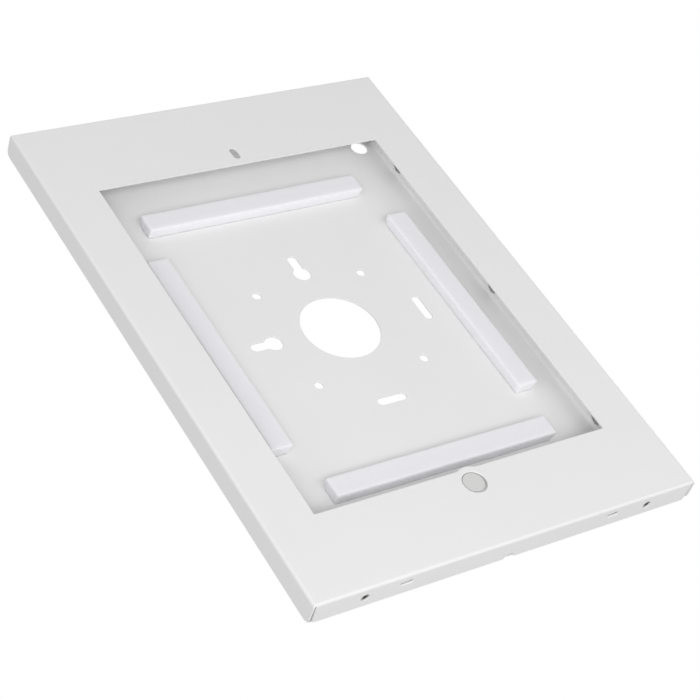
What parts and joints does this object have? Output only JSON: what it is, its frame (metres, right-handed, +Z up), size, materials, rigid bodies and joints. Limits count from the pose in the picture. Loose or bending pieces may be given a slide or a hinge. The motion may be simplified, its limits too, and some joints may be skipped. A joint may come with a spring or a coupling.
{
  "type": "tablet wall mount",
  "caption": "Slim white steel frame that locks a tablet against a wall, with a framed screen window, soft pads inside and a hole pattern in the back.",
  "frame": {"origin": "centre of the 75 x 75 mm hole pattern in the tray, on the wall plane; the screen window and the tablet's place are centred on the same line", "axes": "+Z up the mount, +X to the viewer's right, +Y from the front into the wall"},
  "size_m": [0.263, 0.0177, 0.373],
  "materials": {
    "white_paint": "white semi-gloss powder coat on steel sheet",
    "foam": "matte closed-cell foam, white",
    "grey_plastic": "satin moulded plastic, pale grey",
    "screw_steel": "blackened steel",
    "nut_steel": "zinc plated steel"
  },
  "bodies": {
    "root": {"front_cover": "white_paint", "back_tray": "white_paint", "left_rail": "white_paint", "right_rail": "white_paint", "top_rail": "white_paint", "bottom_rail": "white_paint", "top_foam": "foam", "bottom_foam": "foam", "left_foam": "foam", "right_foam": "foam", "button_cap": "grey_plastic", "left_lock_screw": "screw_steel", "right_lock_screw": "screw_steel", "left_clinch_nut": "nut_steel", "right_clinch_nut": "nut_steel"}
  },
  "joints": []
}
